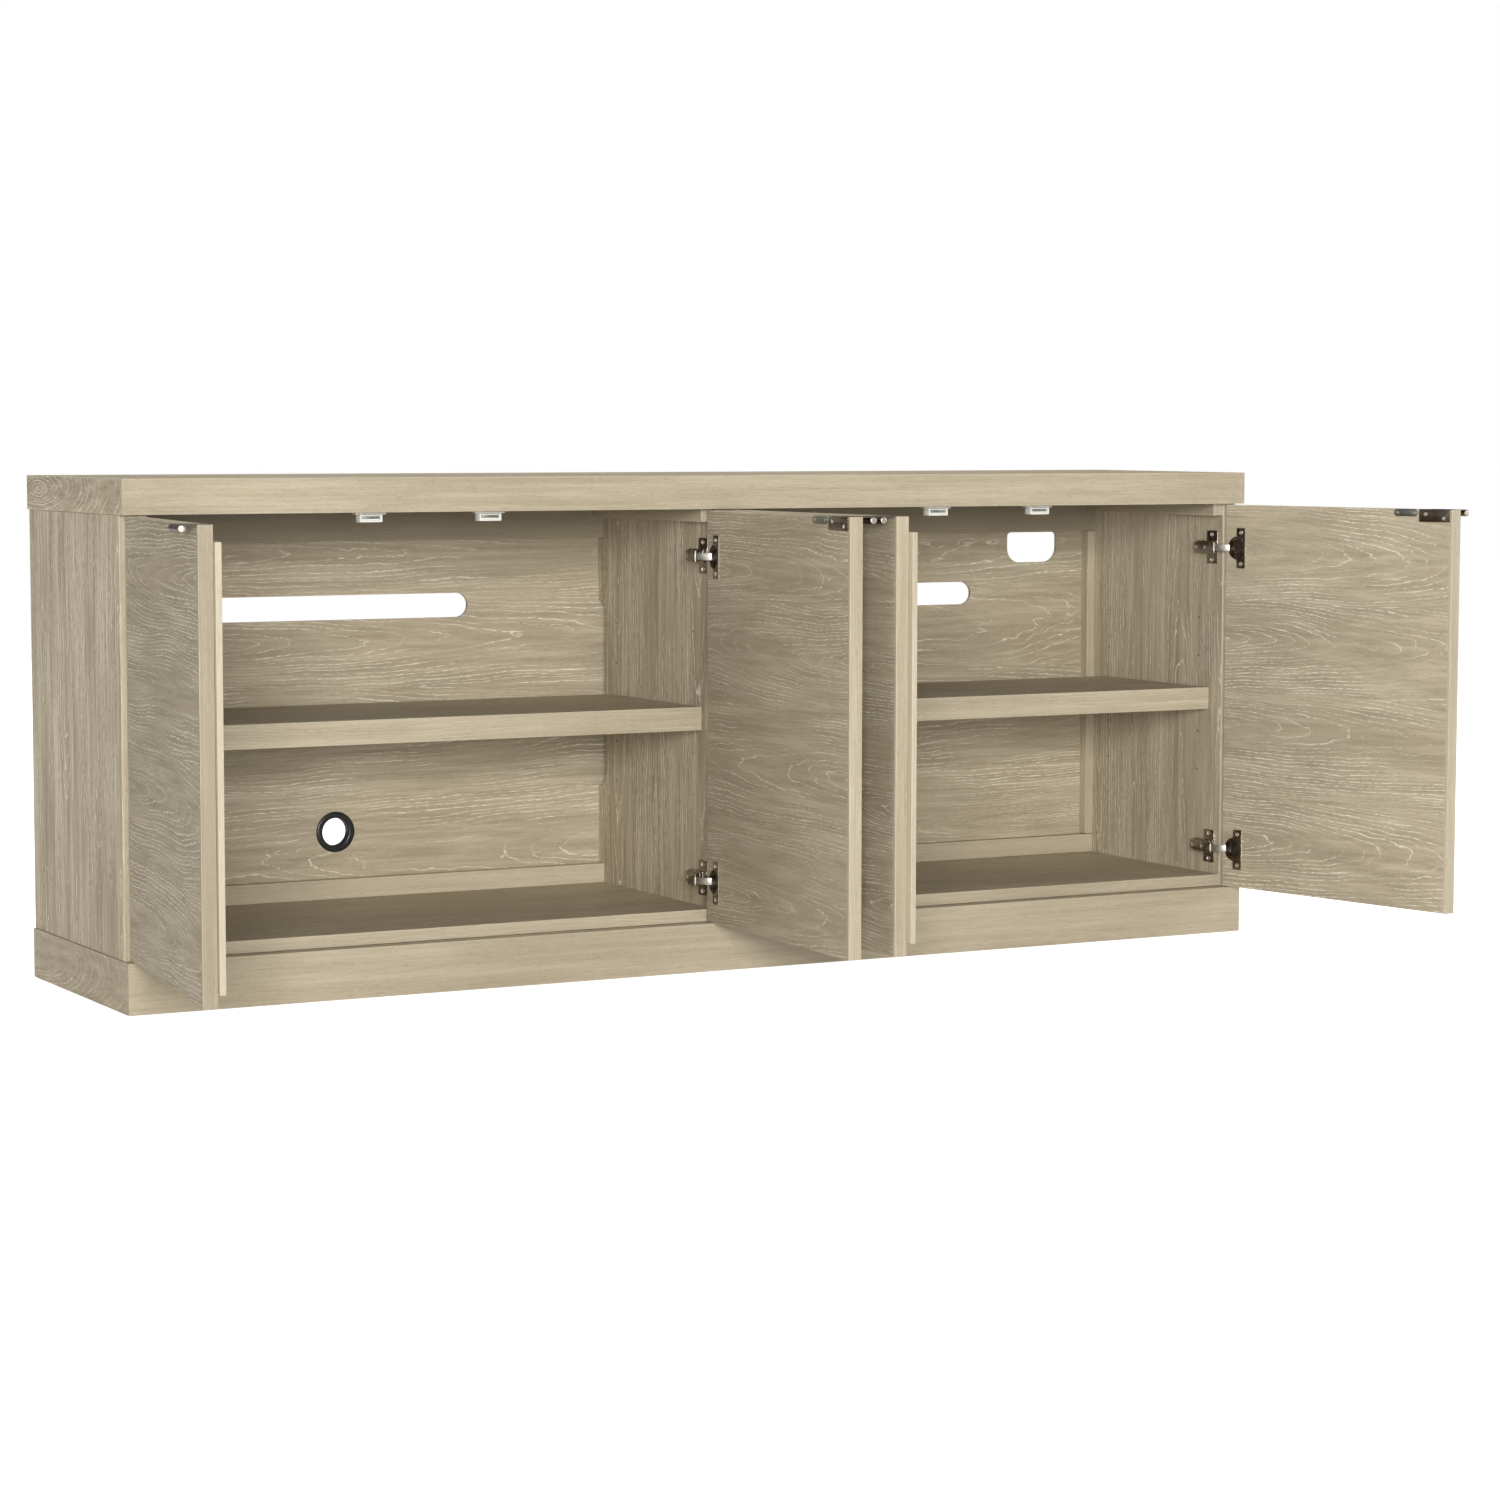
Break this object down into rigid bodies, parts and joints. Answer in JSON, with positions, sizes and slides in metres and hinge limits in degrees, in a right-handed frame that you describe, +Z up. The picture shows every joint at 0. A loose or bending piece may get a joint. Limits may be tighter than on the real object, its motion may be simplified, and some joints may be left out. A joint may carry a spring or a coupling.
{
  "type": "media cabinet",
  "caption": "Low wooden media cabinet with doors on concealed hinges, open bays with adjustable shelves, and cable openings in the back.",
  "frame": {"origin": "on the floor under the middle of the case, on the underside of the plinth's centre brace", "axes": "+X along the cabinet to the right as seen from the front, +Y towards the back, +Z up"},
  "size_m": [1.9772, 0.8458, 0.711],
  "materials": {
    "oak": "limed oak veneer, satin",
    "bronze_steel": "dark bronze plate, satin",
    "nickel_steel": "nickel plate, satin",
    "zinc_steel": "zinc plate, dull",
    "white_plastic": "moulded, fine grain",
    "black_plastic": "moulded, satin"
  },
  "bodies": {
    "case": {"top_board": "oak", "ceiling_panel": "oak", "top_front_rail": "oak", "top_left_rail": "oak", "top_right_rail": "oak", "side_left": "oak", "side_right": "oak", "partition": "oak", "deck": "oak", "back_panel": "oak", "back_rail_upper": "oak", "back_rail_lower": "oak", "plinth_front": "oak", "plinth_left": "oak", "plinth_right": "oak", "plinth_back": "oak", "plinth_brace": "oak", "shelf_left": "oak", "shelf_right": "oak", "grommet": "black_plastic", "catch_left_outer": "white_plastic", "catch_left_inner": "white_plastic", "catch_right_inner": "white_plastic", "catch_right_outer": "white_plastic", "hinge_arm_left_outer_lower": "bronze_steel", "hinge_arm_left_outer_upper": "bronze_steel", "hinge_arm_left_inner_lower": "bronze_steel", "hinge_arm_left_inner_upper": "bronze_steel", "hinge_arm_right_inner_lower": "bronze_steel", "hinge_arm_right_inner_upper": "bronze_steel", "hinge_arm_right_outer_lower": "bronze_steel", "hinge_arm_right_outer_upper": "bronze_steel"},
    "door_left_outer": {"door_left_outer": "oak", "astragal_left_outer": "oak", "pull_left_outer": "bronze_steel", "hinge_cup_left_outer_lower": "bronze_steel", "hinge_cup_left_outer_upper": "bronze_steel"},
    "links_left_outer": {"hinge_link_left_outer_lower": "nickel_steel", "hinge_link_left_outer_upper": "nickel_steel"},
    "door_left_inner": {"door_left_inner": "oak", "pull_left_inner": "bronze_steel", "hinge_cup_left_inner_lower": "bronze_steel", "hinge_cup_left_inner_upper": "bronze_steel"},
    "links_left_inner": {"hinge_link_left_inner_lower": "nickel_steel", "hinge_link_left_inner_upper": "nickel_steel"},
    "door_right_inner": {"door_right_inner": "oak", "astragal_right_inner": "oak", "pull_right_inner": "bronze_steel", "hinge_cup_right_inner_lower": "bronze_steel", "hinge_cup_right_inner_upper": "bronze_steel"},
    "links_right_inner": {"hinge_link_right_inner_lower": "nickel_steel", "hinge_link_right_inner_upper": "nickel_steel"},
    "door_right_outer": {"door_right_outer": "oak", "pull_right_outer": "bronze_steel", "hinge_cup_right_outer_lower": "bronze_steel", "hinge_cup_right_outer_upper": "bronze_steel"},
    "links_right_outer": {"hinge_link_right_outer_lower": "nickel_steel", "hinge_link_right_outer_upper": "nickel_steel"}
  },
  "joints": [
    {"name": "door_left_outer_swing", "type": "hinge", "parent": "case", "child": "door_left_outer", "pos_m": [-0.889, -0.198, 0.3665], "axis": [0, 0, -1], "range_deg": [-97.8, 7.2]},
    {"name": "links_left_outer_turn", "type": "hinge", "parent": "case", "child": "links_left_outer", "pos_m": [-0.862, -0.1792, 0.3665], "axis": [0, 0, -1], "range_deg": [-2.4, 31.4]},
    {"name": "door_left_inner_swing", "type": "hinge", "parent": "case", "child": "door_left_inner", "pos_m": [-0.014, -0.198, 0.3665], "axis": [0, 0, 1], "range_deg": [-87.35, 0]},
    {"name": "links_left_inner_turn", "type": "hinge", "parent": "case", "child": "links_left_inner", "pos_m": [-0.041, -0.1792, 0.3665], "axis": [0, 0, 1], "range_deg": [-0.1, 28.05]},
    {"name": "door_right_inner_swing", "type": "hinge", "parent": "case", "child": "door_right_inner", "pos_m": [0.014, -0.198, 0.3665], "axis": [0, 0, -1], "range_deg": [-88.2, 0]},
    {"name": "links_right_inner_turn", "type": "hinge", "parent": "case", "child": "links_right_inner", "pos_m": [0.041, -0.1792, 0.3665], "axis": [0, 0, -1], "range_deg": [-0.1, 28.32]},
    {"name": "door_right_outer_swing", "type": "hinge", "parent": "case", "child": "door_right_outer", "pos_m": [0.889, -0.198, 0.3665], "axis": [0, 0, 1], "range_deg": [-101.4, 3.6]},
    {"name": "links_right_outer_turn", "type": "hinge", "parent": "case", "child": "links_right_outer", "pos_m": [0.862, -0.1792, 0.3665], "axis": [0, 0, 1], "range_deg": [-1.25, 32.55]}
  ],
  "couplings": [
    {"joint": "links_left_outer_turn", "follows": "door_left_outer_swing", "ratio": -0.32},
    {"joint": "links_left_inner_turn", "follows": "door_left_inner_swing", "ratio": -0.32},
    {"joint": "links_right_inner_turn", "follows": "door_right_inner_swing", "ratio": -0.32},
    {"joint": "links_right_outer_turn", "follows": "door_right_outer_swing", "ratio": -0.32}
  ]
}
